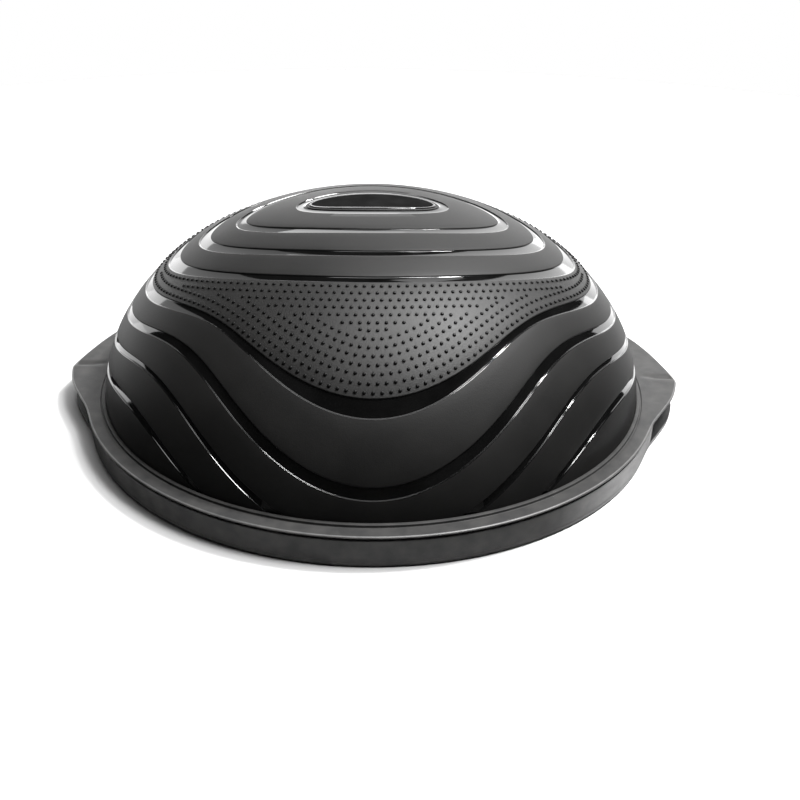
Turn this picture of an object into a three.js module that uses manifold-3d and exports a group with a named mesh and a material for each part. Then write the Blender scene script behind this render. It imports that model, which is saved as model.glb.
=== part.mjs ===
// Balance dome trainer: an inflated half dome clamped onto a round platform with a hand grip each side.
// Millimetres, +Z up. The origin is the centre of the footprint on the floor, the grips lie on X,
// and -Y is the front.
import * as THREE from "three";
import { mergeVertices } from "three/addons/utils/BufferGeometryUtils.js";
import Module from "manifold-3d";

const radians = THREE.MathUtils.degToRad;

// ---- Driving dimensions ----
const RIM_RADIUS = 288; // round part of the clamp ring
const GRIP_REACH = 315; // half the overall width, measured to the tip of a grip
const HEIGHT = 220; // floor to crown
const FIT = 0.3; // gap kept between pieces that touch

const PAD_HEIGHT = 1.5; // how far the foot pads hold the platform off the floor
const PLATE = 4; // thickness of the platform's bottom plate
const WALL = 2.8; // thickness of the platform's side wall
const RIB = 2.5;
const EDGE_CHAMFER = 1;
const RING_TOP = 31.5;
const RING_BOTTOM = 28.5;
const RING_OVERHANG = 2; // the side wall is set in this far under the ring's edge
const DRAFT = 0.3; // and tapers in this much more towards the floor

const DOME_RADIUS = 262;
const FOOT_FLARE = 7; // the flank stands this much further out at the equator
const FLARE_START = radians(30); // and starts to flare this far up the dome
const DOME_EQUATOR = 44; // height at which the dome is widest
const DOME_WALL = 3.2;
const DOME_CLOCKING = 2.7; // degrees the dome is turned on the base
const BADGE_STANDS_PROUD = 0.6;
const BADGE_THICKNESS = 1.2;
const BADGE_HALF_LENGTH = 61.5;
const BADGE_HALF_WIDTH = 22.5;

const BEAD_TOP = RING_BOTTOM - FIT;
const BEAD_BOTTOM = 24;
const BEAD_OUTER = 273.6;
const BEAD_INNER = 266;

const LIP_INNER = 270; // the ring's raised lip round the foot of the dome
const LIP_OUTER = 273.6;
const LIP_TOP = 33;
const LIP_GROOVE = 1.6;

const POCKET_HALF_LENGTH = 85; // the finger pocket in each grip
const POCKET_FLOOR = 6;
const POCKET_ROOF = 26;
const POCKET_BACK_RADIUS = 280;

const SCREW_CIRCLE = 278.4;
const SCREWS_A_SIDE = 6;
const SCREW_FIRST_AZIMUTH = 27; // degrees from X, clear of the pockets
const SCREW_HEAD_RADIUS = 3.6;
const SCREW_HEAD_HEIGHT = 2.3;
const SCREW_SHANK_RADIUS = 1.75;
const SCREW_LENGTH = 19;
const BOSS_RADIUS = 3.2;
const BOSS_BOTTOM = 14;

const PAD_COUNT = 8;
const PAD_CIRCLE = 236;
const PAD_RADIUS = 14;
const PAD_RECESS = 1.5;

const WELL_RADIUS = 16; // the opening under the inflation valve
const NECK_RADIUS = 8;
const NECK_BOTTOM = 10;
const VALVE_BORE = 4.2;
const FLOOR_MEMBRANE = 3;

// ---- Materials ----
const paint = (color, roughness, metalness = 0) =>
  new THREE.MeshStandardMaterial({ color, roughness, metalness });
const moulding = paint(0x3a3a39, 0.5);
const mattePvc = paint(0x2e2e2c, 0.62);
const glossBlack = paint(0x0b0b0b, 0.12);
const softRubber = paint(0x1a1a1a, 0.8);
const zincSteel = paint(0x9a9a98, 0.35, 0.9);

// ---- Solids ----
const wasm = await Module();
wasm.setup();

/** Turns a closed three.js geometry into a solid that can be joined and cut. */
function solid(geometry) {
  const bare = geometry.index ? geometry.clone() : geometry;
  bare.deleteAttribute("normal");
  bare.deleteAttribute("uv");
  const merged = mergeVertices(bare, 1e-3);
  return new wasm.Manifold(
    new wasm.Mesh({
      numProp: 3,
      vertProperties: new Float32Array(merged.attributes.position.array),
      triVerts: new Uint32Array(merged.index.array),
    }),
  );
}

function geometryOf(body) {
  const { vertProperties, triVerts } = body.getMesh();
  const geometry = new THREE.BufferGeometry();
  geometry.setAttribute("position", new THREE.BufferAttribute(vertProperties, 3));
  geometry.setIndex(new THREE.BufferAttribute(triVerts, 1));
  geometry.computeVertexNormals();
  return geometry;
}

const trainer = new THREE.Group();
trainer.name = "balance_dome_trainer";

function place(name, body, material) {
  const mesh = new THREE.Mesh(geometryOf(body), material);
  mesh.name = name;
  trainer.add(mesh);
  return mesh;
}

const join = (bodies) => bodies.reduce((whole, body) => whole.add(body));

/** A solid of revolution about +Z from a closed profile of [radius, z] points. */
function turned(profile, segments) {
  const points = profile.map(([radius, z]) => new THREE.Vector2(radius, z));
  if (points[0].x > 0 || points[points.length - 1].x > 0) points.push(points[0].clone());
  const geometry = new THREE.LatheGeometry(points, segments);
  geometry.rotateX(Math.PI / 2);
  const body = solid(geometry);
  return body.volume() < 0 ? turned([...profile].reverse(), segments) : body;
}

const BIG = 60; // segments round the dome
const SMALL = 10; // segments round a screw or its hole
const MEDIUM = 16; // segments round a pad or the valve

const disc = (radius, low, high, segments = SMALL) =>
  turned([[0, low], [radius, low], [radius, high], [0, high]], segments);

const hoop = (inner, outer, low, high, segments = BIG) =>
  turned([[inner, low], [outer, low], [outer, high], [inner, high]], segments);

function block(x, y, z, width, depth, height, turn = 0) {
  const geometry = new THREE.BoxGeometry(width, depth, height);
  geometry.translate(x, y, z);
  geometry.rotateZ(turn);
  return solid(geometry);
}

const onCircle = (radius, azimuth) => [
  radius * Math.cos(azimuth),
  radius * Math.sin(azimuth),
  0,
];

// ---- The outline of the base: a circle with a grip swelling out on each side ----
// Radius against degrees from the grip's tip: the flank is hollow towards the front and full
// towards the back.
const GRIP_FLANK = [
  [-26, RIM_RADIUS],
  [-18, 289.3],
  [-12.4, 296.6],
  [-6.6, 306.8],
  [-1.8, 313.4],
  [0, GRIP_REACH],
  [2.5, 313.2],
  [7.7, 309.6],
  [13.2, 306.8],
  [19, 303.9],
  [25, 299],
  [31, 293],
  [38, 288.8],
  [45, RIM_RADIUS],
].map(([azimuth, radius]) => new THREE.Vector2(azimuth, radius));

const OUTLINE_STEP = 3; // degrees

function rimRadius(azimuth) {
  const folded = Math.abs(azimuth) > 90 ? Math.sign(azimuth) * 180 - azimuth : azimuth;
  const last = GRIP_FLANK.length - 1;
  if (folded <= GRIP_FLANK[0].x || folded >= GRIP_FLANK[last].x) return RIM_RADIUS;
  const next = GRIP_FLANK.findIndex((knot) => knot.x > folded);
  const a = GRIP_FLANK[next - 1];
  const b = GRIP_FLANK[next];
  const slopeAt = (index) => {
    if (index === 0 || index === last) return 0;
    const before = GRIP_FLANK[index - 1];
    const after = GRIP_FLANK[index + 1];
    return (after.y - before.y) / (after.x - before.x);
  };
  const span = b.x - a.x;
  const t = (folded - a.x) / span;
  const rise = (2 * t ** 3 - 3 * t ** 2 + 1) * a.y + (3 * t ** 2 - 2 * t ** 3) * b.y;
  const bend = (t ** 3 - 2 * t ** 2 + t) * slopeAt(next - 1) + (t ** 3 - t ** 2) * slopeAt(next);
  return rise + bend * span;
}

function outline() {
  const points = [];
  for (let azimuth = -180; azimuth < 180; azimuth += OUTLINE_STEP) {
    const angle = radians(azimuth);
    const radius = rimRadius(azimuth);
    points.push(new THREE.Vector2(radius * Math.cos(angle), radius * Math.sin(angle)));
  }
  return new THREE.Shape(points);
}

/** A slab with the base's outline, given as layers of [z, inset] from the bottom up. */
function slab(layers) {
  const steps = layers.length - 1;
  const geometry = new THREE.ExtrudeGeometry(outline(), {
    depth: steps,
    steps,
    bevelEnabled: false,
  });
  const position = geometry.attributes.position;
  for (let i = 0; i < position.count; i += 1) {
    const [z, inset] = layers[Math.round(position.getZ(i))];
    const shrink = 1 - inset / RIM_RADIUS;
    position.setXYZ(i, position.getX(i) * shrink, position.getY(i) * shrink, z);
  }
  return solid(geometry);
}

// ---- Base platform ----
const PLATE_TOP = PAD_HEIGHT + PLATE;
const RIB_TOP = BEAD_TOP - 1.7;
const POCKET_SKIN = 2.5;
const SEAT_INNER = 265; // the two ledges that carry the dome's bead
const SEAT_OUTER = 272.4;
const MID_RIB_RADIUS = 130;
const RADIAL_RIBS = 8;
const PAD_STEP = (2 * Math.PI) / PAD_COUNT;
const COUNTERBORE = SCREW_HEAD_RADIUS + 0.5;

const screwAzimuths = [];
for (const side of [1, -1]) {
  for (let i = 0; i < SCREWS_A_SIDE; i += 1) {
    const spread = 180 - 2 * SCREW_FIRST_AZIMUTH;
    const azimuth = SCREW_FIRST_AZIMUTH + (i * spread) / (SCREWS_A_SIDE - 1);
    screwAzimuths.push(radians(side * azimuth));
  }
}

const padAzimuths = [];
for (let i = 0; i < PAD_COUNT; i += 1) padAzimuths.push((i + 0.5) * PAD_STEP);

function ribs() {
  const seat = BEAD_BOTTOM - FIT;
  const foot = PLATE_TOP - 0.5;
  const parts = [
    hoop(SEAT_INNER, SEAT_INNER + RIB, foot, seat),
    hoop(SEAT_OUTER, SEAT_OUTER + RIB, foot, seat),
    hoop(MID_RIB_RADIUS, MID_RIB_RADIUS + RIB, foot, RIB_TOP, 32),
    hoop(WELL_RADIUS, WELL_RADIUS + RIB, foot, RIB_TOP, MEDIUM),
  ];
  const inner = WELL_RADIUS + 1;
  const length = SEAT_INNER + 1 - inner;
  const height = seat - foot;
  for (let i = 0; i < RADIAL_RIBS; i += 1) {
    const turn = (i * 2 * Math.PI) / RADIAL_RIBS;
    parts.push(block(inner + length / 2, 0, foot + height / 2, length, RIB, height, turn));
  }
  return join(parts);
}

/** The solid round one finger pocket, or the pocket itself. */
function pocket(side, half, low, high, backRadius) {
  const reach = 120;
  const middle = backRadius - 20 + reach / 2;
  const span = high - low;
  const bar = block(side * middle, 0, (low + high) / 2, reach, 2 * half, span);
  return bar.subtract(disc(backRadius, low - 1, high + 1, BIG));
}

function platform() {
  const wallTop = RING_BOTTOM - FIT;
  const foot = RING_OVERHANG + DRAFT;
  const shell = slab([
    [PAD_HEIGHT, foot + EDGE_CHAMFER],
    [PAD_HEIGHT + EDGE_CHAMFER, foot],
    [wallTop, RING_OVERHANG],
  ]);
  const inside = slab([[PLATE_TOP, foot + WALL], [wallTop + 5, RING_OVERHANG + WALL]]);
  let body = shell.subtract(inside).add(ribs());
  for (const side of [1, -1]) {
    const half = POCKET_HALF_LENGTH + POCKET_SKIN;
    const back = POCKET_BACK_RADIUS - POCKET_SKIN;
    const skin = pocket(side, half, PLATE_TOP - 0.5, wallTop, back).intersect(shell);
    const hollow = pocket(side, POCKET_HALF_LENGTH, POCKET_FLOOR, POCKET_ROOF, POCKET_BACK_RADIUS);
    body = body.add(skin).subtract(hollow);
  }
  for (const azimuth of screwAzimuths) {
    const at = onCircle(SCREW_CIRCLE, azimuth);
    body = body.add(disc(COUNTERBORE + 0.9, PAD_HEIGHT + EDGE_CHAMFER, BOSS_BOTTOM - FIT).translate(at));
    body = body.subtract(disc(COUNTERBORE, 0, PLATE_TOP).translate(at));
    body = body.subtract(disc(SCREW_SHANK_RADIUS + 0.4, 0, BOSS_BOTTOM + 1).translate(at));
  }
  for (const azimuth of padAzimuths) {
    const at = onCircle(PAD_CIRCLE, azimuth);
    body = body.subtract(disc(PAD_RADIUS + FIT, 0, PAD_HEIGHT + PAD_RECESS, MEDIUM).translate(at));
  }
  return body.subtract(disc(WELL_RADIUS, 0, PLATE_TOP + 1, MEDIUM));
}

place("base_platform", platform(), moulding);

// ---- Clamp ring ----
function clampRing() {
  let body = slab([[RING_BOTTOM, 0.6], [RING_BOTTOM + 0.6, 0], [RING_TOP - 1.2, 0], [RING_TOP, 1.2]]);
  body = body.add(hoop(LIP_INNER - 10, LIP_OUTER, RING_BOTTOM, LIP_TOP));
  body = body.subtract(disc(LIP_INNER, 0, HEIGHT, BIG));
  const groove = hoop(LIP_OUTER, LIP_OUTER + LIP_GROOVE, RING_TOP - 1.1, HEIGHT);
  body = body.subtract(groove);
  for (const azimuth of screwAzimuths) {
    const at = onCircle(SCREW_CIRCLE, azimuth);
    body = body.add(disc(BOSS_RADIUS, BOSS_BOTTOM, RING_BOTTOM + 0.5).translate(at));
    const bore = disc(SCREW_SHANK_RADIUS + FIT, 0, BOSS_BOTTOM + 11).translate(at);
    body = body.subtract(bore);
  }
  return body;
}

place("clamp_ring", clampRing(), moulding);

// ---- Inflatable dome ----
const domeRise = HEIGHT - BADGE_STANDS_PROUD - DOME_EQUATOR;

/** Points up the dome from its equator to the crown, offset outwards from its outer face. */
function domeArc(offset, steps) {
  const points = [];
  for (let i = 0; i <= steps; i += 1) {
    const angle = ((i / steps) * Math.PI) / 2;
    const flare = FOOT_FLARE * Math.max(0, 1 - angle / FLARE_START) ** 1.5;
    const radius = (DOME_RADIUS + offset) * Math.cos(angle) + flare;
    points.push([i === steps ? 0 : radius, DOME_EQUATOR + (domeRise + offset) * Math.sin(angle)]);
  }
  return points;
}

const DOME_STEPS = 10;
const FOOT_RADIUS = 269.6;

/** Everything under the dome's face, offset outwards. */
const domeBlank = (offset) => turned([[0, DOME_EQUATOR], ...domeArc(offset, DOME_STEPS)], BIG);

function ovalBar(grow) {
  const shape = new THREE.Shape();
  shape.absellipse(0, 0, BADGE_HALF_LENGTH + grow, BADGE_HALF_WIDTH + grow, 0, 2 * Math.PI);
  const geometry = new THREE.ExtrudeGeometry(shape, {
    depth: HEIGHT,
    bevelEnabled: false,
    curveSegments: 16,
  });
  geometry.rotateZ(radians(DOME_CLOCKING));
  geometry.translate(0, 0, DOME_EQUATOR);
  return solid(geometry);
}

function domeShell() {
  const face = domeArc(0, DOME_STEPS);
  const lining = domeArc(-DOME_WALL, DOME_STEPS).reverse();
  const shell = turned(
    [
      [BEAD_OUTER, BEAD_BOTTOM],
      [BEAD_OUTER, BEAD_TOP],
      [FOOT_RADIUS, BEAD_TOP],
      ...face,
      ...lining,
      [BEAD_INNER, BEAD_TOP],
      [BEAD_INNER, BEAD_BOTTOM],
    ],
    BIG,
  );
  const recess = domeBlank(5).subtract(domeBlank(BADGE_STANDS_PROUD - BADGE_THICKNESS - FIT));
  return shell.subtract(recess.intersect(ovalBar(FIT)));
}

place("dome_shell", domeShell(), mattePvc);

const badgeSheet = domeBlank(BADGE_STANDS_PROUD)
  .subtract(domeBlank(BADGE_STANDS_PROUD - BADGE_THICKNESS));
place("crown_badge", badgeSheet.intersect(ovalBar(0)), glossBlack);

// ---- Floor of the air chamber and its inflation valve ----
const MEMBRANE_BOTTOM = RIB_TOP + FIT;
const MEMBRANE_TOP = MEMBRANE_BOTTOM + FLOOR_MEMBRANE;
const MEMBRANE_RADIUS = BEAD_INNER - FIT;

const membrane = hoop(NECK_RADIUS + FIT, MEMBRANE_RADIUS, MEMBRANE_BOTTOM, MEMBRANE_TOP);
place("bladder_floor", membrane, mattePvc);

const FLANGE_RADIUS = 14;
const FLANGE_BOTTOM = MEMBRANE_TOP + FIT;
const valve = turned(
  [
    [VALVE_BORE, NECK_BOTTOM],
    [NECK_RADIUS, NECK_BOTTOM],
    [NECK_RADIUS, FLANGE_BOTTOM],
    [FLANGE_RADIUS, FLANGE_BOTTOM],
    [FLANGE_RADIUS, FLANGE_BOTTOM + 1.5],
    [VALVE_BORE, FLANGE_BOTTOM + 1.5],
  ],
  MEDIUM,
);
place("valve_body", valve, softRubber);

// The plug is drawn straight down out of the valve, by the grip under its head.
const PLUG_HEAD_TOP = NECK_BOTTOM - FIT;
const plugStem = turned(
  [
    [0, PLUG_HEAD_TOP - 2.5],
    [9, PLUG_HEAD_TOP - 2.5],
    [9, PLUG_HEAD_TOP],
    [VALVE_BORE - FIT, PLUG_HEAD_TOP],
    [VALVE_BORE - FIT, PLUG_HEAD_TOP + 11],
    [2.6, PLUG_HEAD_TOP + 14],
    [0, PLUG_HEAD_TOP + 14],
  ],
  MEDIUM,
);
const plugGrip = block(0, 0, PLUG_HEAD_TOP - 4, 10, 2.4, 4);
place("air_plug", plugStem.add(plugGrip), softRubber);

// ---- Ring screws ----
const SCREW_SEAT = PLATE_TOP - FIT;

function screw() {
  const head = SCREW_SEAT - SCREW_HEAD_HEIGHT;
  return turned(
    [
      [0, head],
      [SCREW_HEAD_RADIUS - 0.8, head],
      [SCREW_HEAD_RADIUS, head + 1],
      [SCREW_HEAD_RADIUS, SCREW_SEAT],
      [SCREW_SHANK_RADIUS, SCREW_SEAT],
      [SCREW_SHANK_RADIUS, SCREW_SEAT + SCREW_LENGTH - 2],
      [0, SCREW_SEAT + SCREW_LENGTH],
    ],
    SMALL,
  );
}

const ringScrew = screw();
screwAzimuths.forEach((azimuth, i) => {
  place(`ring_screw_${i + 1}`, ringScrew.translate(onCircle(SCREW_CIRCLE, azimuth)), zincSteel);
});

// ---- Foot pads ----
const padTop = PAD_HEIGHT + PAD_RECESS - FIT;
const pad = turned([[0, 0], [PAD_RADIUS - 1, 0], [PAD_RADIUS, 1], [PAD_RADIUS, padTop], [0, padTop]], MEDIUM);
padAzimuths.forEach((azimuth, i) => {
  place(`foot_pad_${i + 1}`, pad.translate(onCircle(PAD_CIRCLE, azimuth)), softRubber);
});

export default trainer;
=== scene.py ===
"""Balance dome trainer: the looks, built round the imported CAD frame.

The front is -Y and the grips lie on X. Lengths are millimetres until a mesh is made. Azimuths
run from the front towards +X.
"""
import math

import bmesh
import bpy
import numpy as np
from mathutils import Matrix, Vector


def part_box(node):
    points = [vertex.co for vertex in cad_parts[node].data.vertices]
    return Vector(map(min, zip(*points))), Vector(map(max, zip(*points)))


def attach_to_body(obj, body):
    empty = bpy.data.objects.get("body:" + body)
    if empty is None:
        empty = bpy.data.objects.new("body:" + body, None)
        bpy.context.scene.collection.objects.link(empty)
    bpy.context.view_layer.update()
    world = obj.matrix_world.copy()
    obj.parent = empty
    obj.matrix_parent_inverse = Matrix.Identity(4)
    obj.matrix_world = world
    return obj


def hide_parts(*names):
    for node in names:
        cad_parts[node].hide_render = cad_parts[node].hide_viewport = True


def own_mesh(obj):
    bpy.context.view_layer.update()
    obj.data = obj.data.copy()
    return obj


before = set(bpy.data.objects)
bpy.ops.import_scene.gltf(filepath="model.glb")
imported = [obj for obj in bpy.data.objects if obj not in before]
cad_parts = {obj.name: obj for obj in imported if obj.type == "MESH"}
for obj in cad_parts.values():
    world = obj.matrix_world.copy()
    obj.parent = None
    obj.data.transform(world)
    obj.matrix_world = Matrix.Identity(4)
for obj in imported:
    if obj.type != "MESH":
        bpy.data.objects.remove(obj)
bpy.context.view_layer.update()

MM = 0.001

# ---- Sizes shared with the CAD model ----
RIM_RADIUS = 288
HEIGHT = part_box("crown_badge")[1].z / MM
DOME_RADIUS = 262
DOME_EQUATOR = 44
FOOT_FLARE = 7  # the flank stands this much further out at the equator
FLARE_START = math.radians(30)  # and starts to flare this far up the dome
BADGE_PROUD = 0.6
BADGE_THICKNESS = 1.2
DOME_RISE = HEIGHT - BADGE_PROUD - DOME_EQUATOR
DOME_CLOCKING = math.radians(2.7)
BEAD_HEIGHT = 4.2  # the bead that the clamp ring grips, under the dome's foot
DOME_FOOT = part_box("dome_shell")[0].z / MM + BEAD_HEIGHT
RING_BOTTOM = 28.5
RING_TOP = 31.5
LIP_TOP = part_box("clamp_ring")[1].z / MM
LIP_INNER = 270
LIP_OUTER = 273.6
PLATFORM_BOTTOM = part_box("base_platform")[0].z / MM
PLATFORM_TOP = 28.2
PLATE_TOP = PLATFORM_BOTTOM + 4
POCKET_HALF_LENGTH = 85
POCKET_FLOOR = 6
POCKET_ROOF = 26
POCKET_BACK = 280
SCREW_CIRCLE = 278.4
SCREWS = 12
SCREW_FIRST_AZIMUTH = 27  # degrees from a grip's tip
PADS = 8
PAD_CIRCLE = 236
WELL_RADIUS = 16


# ---- Mesh helpers ----
MERGE_DISTANCE = 0.002
CUT_MERGE_DISTANCE = 0.005
SHARP_ANGLE = 38  # an edge that bends more than this, in degrees, is shaded sharp


def add_object(name, data):
    thing = bpy.data.objects.new(name, data)
    bpy.context.scene.collection.objects.link(thing)
    return thing


def shade(mesh, sharp_angle):
    mesh.polygons.foreach_set("use_smooth", np.ones(len(mesh.polygons), bool))
    mesh.set_sharp_from_angle(angle=math.radians(sharp_angle))


def make_piece(name, points, faces, materials, face_slots=None, sharp_angle=SHARP_ANGLE):
    """A mesh object from points in millimetres. Coinciding points are merged, so poles close."""
    mesh = bpy.data.meshes.new(name)
    mesh.from_pydata((np.asarray(points, float) * MM).tolist(), [], np.asarray(faces).tolist())
    for material in materials:
        mesh.materials.append(material)
    if face_slots is not None:
        mesh.polygons.foreach_set("material_index", np.asarray(face_slots, np.int32))
    work = bmesh.new()
    work.from_mesh(mesh)
    bmesh.ops.remove_doubles(work, verts=work.verts, dist=MERGE_DISTANCE * MM)
    bmesh.ops.dissolve_degenerate(work, edges=work.edges, dist=MERGE_DISTANCE * MM)
    work.to_mesh(mesh)
    work.free()
    shade(mesh, sharp_angle)
    mesh.validate()
    return add_object(name, mesh)


def grid_faces(rows, columns, loop=False):
    """Quads of a grid whose rows run round +Z and follow each other down the outside."""
    row = np.arange(rows if loop else rows - 1)[:, None]
    column = np.arange(columns)[None, :]
    below = (row + 1) % rows * columns
    beside = (column + 1) % columns
    corners = [row * columns + column, below + column, below + beside, row * columns + beside]
    return np.stack(corners, axis=-1).reshape(-1, 4)


def swept(name, rows, materials, row_slots=None, loop=False, sharp_angle=SHARP_ANGLE):
    """A closed piece through rows of points. row_slots gives the material of each band."""
    rows = np.asarray(rows, float)
    count, columns = rows.shape[:2]
    faces = grid_faces(count, columns, loop)
    slots = None if row_slots is None else np.repeat(row_slots, columns)
    return make_piece(name, rows.reshape(-1, 3), faces, materials, slots, sharp_angle)


def around(azimuth, radius, z):
    """Points at azimuths from the front."""
    azimuth, radius, z = np.broadcast_arrays(azimuth, radius, z)
    return np.stack([radius * np.sin(azimuth), -radius * np.cos(azimuth), z], axis=-1)


def full_turn(segments):
    return np.linspace(0, 2 * np.pi, segments, endpoint=False)


def turned_rows(profile, segments):
    """Rows of a solid of revolution, from (radius, z) points down the outside."""
    return [around(full_turn(segments), r, float(z)) for r, z in profile]


def turned(name, profile, material, segments=64, at=(0, 0), loop=False):
    rows = np.array(turned_rows(profile, segments)) + np.array([*at, 0])
    return swept(name, rows, [material], loop=loop)


def rounded(corners, radius, steps=4):
    """A profile whose inner corners are replaced by short curves."""
    most = 0.45  # of a side's length, so that the curves at its two ends stay apart
    result = [corners[0]]
    for before, corner, after in zip(corners, corners[1:], corners[2:]):
        corner = np.array(corner, float)
        into = np.array(before, float) - corner
        out = np.array(after, float) - corner
        reach = min(radius, most * np.linalg.norm(into), most * np.linalg.norm(out))
        start = corner + into / np.linalg.norm(into) * reach
        end = corner + out / np.linalg.norm(out) * reach
        for t in np.linspace(0, 1, steps):
            point = (1 - t) ** 2 * start + 2 * t * (1 - t) * corner + t ** 2 * end
            result.append(tuple(point))
    result.append(corners[-1])
    return result


def cut(piece, cutter):
    """Cuts one closed mesh out of another."""
    modifier = piece.modifiers.new("cut", "BOOLEAN")
    modifier.operation = "DIFFERENCE"
    modifier.solver = "EXACT"
    modifier.object = cutter
    bpy.context.view_layer.update()
    evaluated = piece.evaluated_get(bpy.context.evaluated_depsgraph_get())
    mesh = bpy.data.meshes.new_from_object(evaluated)
    work = bmesh.new()
    work.from_mesh(mesh)
    bmesh.ops.dissolve_degenerate(work, dist=CUT_MERGE_DISTANCE * MM, edges=work.edges)
    work.to_mesh(mesh)
    work.free()
    piece.modifiers.clear()
    piece.data = mesh
    bpy.data.objects.remove(cutter)


# ---- Materials ----
class Nodes:
    """A short way to write a node tree."""

    def __init__(self, name):
        self.material = bpy.data.materials.new(name)
        self.material.use_nodes = True
        self.tree = self.material.node_tree
        self.shader = self.tree.nodes["Principled BSDF"]
        self.place = self.add("ShaderNodeTexCoord").outputs["Object"]

    def add(self, kind):
        return self.tree.nodes.new(kind)

    def join(self, output, socket):
        self.tree.links.new(output, socket)

    def noise(self, size, detail=4, roughness=0.55, stretch=(1, 1, 1)):
        """Noise whose blobs are about this many millimetres across."""
        mapping = self.add("ShaderNodeMapping")
        mapping.inputs["Scale"].default_value = [axis / (size * MM) for axis in stretch]
        node = self.add("ShaderNodeTexNoise")
        node.inputs["Scale"].default_value = 1
        node.inputs["Detail"].default_value = detail
        node.inputs["Roughness"].default_value = roughness
        self.join(self.place, mapping.inputs["Vector"])
        self.join(mapping.outputs["Vector"], node.inputs["Vector"])
        return node.outputs["Fac"]

    def ramp(self, factor, dark, light):
        """A colour that runs from dark to light over the middle of a noise's range."""
        node = self.add("ShaderNodeValToRGB")
        node.color_ramp.elements[0].position = 0.35
        node.color_ramp.elements[1].position = 0.65
        node.color_ramp.elements[0].color = (*dark, 1)
        node.color_ramp.elements[1].color = (*light, 1)
        self.join(factor, node.inputs["Fac"])
        return node.outputs["Color"]

    def between(self, factor, low, high):
        """A number that runs from low to high over the middle of a noise's range."""
        node = self.add("ShaderNodeMapRange")
        node.inputs["From Min"].default_value = 0.3
        node.inputs["From Max"].default_value = 0.7
        node.inputs["To Min"].default_value = low
        node.inputs["To Max"].default_value = high
        self.join(factor, node.inputs["Value"])
        return node.outputs["Result"]

    def bump(self, height, distance, below=None):
        """Bump of this height in millimetres, laid over another bump if one is given."""
        node = self.add("ShaderNodeBump")
        node.inputs["Distance"].default_value = distance * MM
        node.inputs["Strength"].default_value = 1
        self.join(height, node.inputs["Height"])
        if below is not None:
            self.join(below, node.inputs["Normal"])
        return node.outputs["Normal"]

    def finish(self, colour, roughness, normal, **constants):
        """Joins up the shader. The constants are its own sockets, with _ for a space."""
        self.join(colour, self.shader.inputs["Base Color"])
        self.join(roughness, self.shader.inputs["Roughness"])
        self.join(normal, self.shader.inputs["Normal"])
        for key, value in constants.items():
            self.shader.inputs[key.replace("_", " ")].default_value = value
        return self.material


def grey(level, warmth=0.0):
    """A linear grey, a little warmer or cooler."""
    return (level * (1 + warmth), level, level * (1 - warmth))


def matte_pvc(name, level, rough, shine, texture):
    """Moulded PVC. The texture is the depth of its fine grain in millimetres."""
    nodes = Nodes(name)
    clouds = nodes.noise(60, detail=5)
    grain = nodes.noise(0.9, detail=3)
    pores = nodes.noise(3.2, detail=2)
    colour = nodes.ramp(clouds, grey(level * 0.85, 0.02), grey(level * 1.15, 0.03))
    roughness = nodes.between(clouds, rough, rough + 0.05)
    normal = nodes.bump(grain, texture, nodes.bump(pores, 0.04))
    return nodes.finish(colour, roughness, normal, Specular_IOR_Level=shine)


def gloss_pvc():
    """The polished floor of the grooves, faintly smeared and rippled."""
    nodes = Nodes("dome_gloss_pvc")
    smears = nodes.noise(45, detail=4)
    ripple = nodes.noise(26, detail=1)
    colour = nodes.ramp(smears, grey(0.0015), grey(0.003))
    roughness = nodes.between(smears, 0.05, 0.09)
    return nodes.finish(colour, roughness, nodes.bump(ripple, 0.05), IOR=1.52)


def stud_pvc():
    nodes = Nodes("dome_stud_pvc")
    smears = nodes.noise(4, detail=3)
    colour = nodes.ramp(smears, grey(0.002), grey(0.004))
    roughness = nodes.between(smears, 0.36, 0.46)
    return nodes.finish(colour, roughness, nodes.bump(smears, 0.02), Specular_IOR_Level=0.12)


def badge_satin():
    nodes = Nodes("badge_satin_black")
    smears = nodes.noise(18, detail=4)
    colour = nodes.ramp(smears, grey(0.006), grey(0.009))
    roughness = nodes.between(smears, 0.42, 0.5)
    ripple = nodes.bump(nodes.noise(14, detail=1), 0.03)
    return nodes.finish(colour, roughness, ripple, Specular_IOR_Level=0.0)


def moulding(name, level, shine):
    """Hard moulded plastic, a little cloudy and scuffed."""
    nodes = Nodes(name)
    clouds = nodes.noise(16, detail=8)
    grain = nodes.noise(0.7, detail=3)
    scuffs = nodes.noise(22, detail=6, roughness=0.7, stretch=(1, 1, 3))
    colour = nodes.ramp(clouds, grey(level * 0.82), grey(level * 1.2, 0.02))
    roughness = nodes.between(scuffs, 0.40, 0.50)
    normal = nodes.bump(grain, 0.1, nodes.bump(clouds, 0.04))
    return nodes.finish(colour, roughness, normal, Specular_IOR_Level=shine)


def soft_rubber():
    nodes = Nodes("soft_rubber")
    dust = nodes.noise(12, detail=6)
    grain = nodes.noise(0.5, detail=3)
    colour = nodes.ramp(dust, grey(0.012), grey(0.022, 0.03))
    roughness = nodes.between(dust, 0.7, 0.82)
    return nodes.finish(colour, roughness, nodes.bump(grain, 0.08), IOR=1.5)


def zinc_steel():
    nodes = Nodes("zinc_plated_steel")
    haze = nodes.noise(2.5, detail=5)
    scratches = nodes.noise(0.5, detail=2, stretch=(1, 6, 1))
    colour = nodes.ramp(haze, grey(0.42, -0.02), grey(0.58, 0.01))
    roughness = nodes.between(scratches, 0.26, 0.42)
    return nodes.finish(colour, roughness, nodes.bump(scratches, 0.01), Metallic=1)


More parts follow.
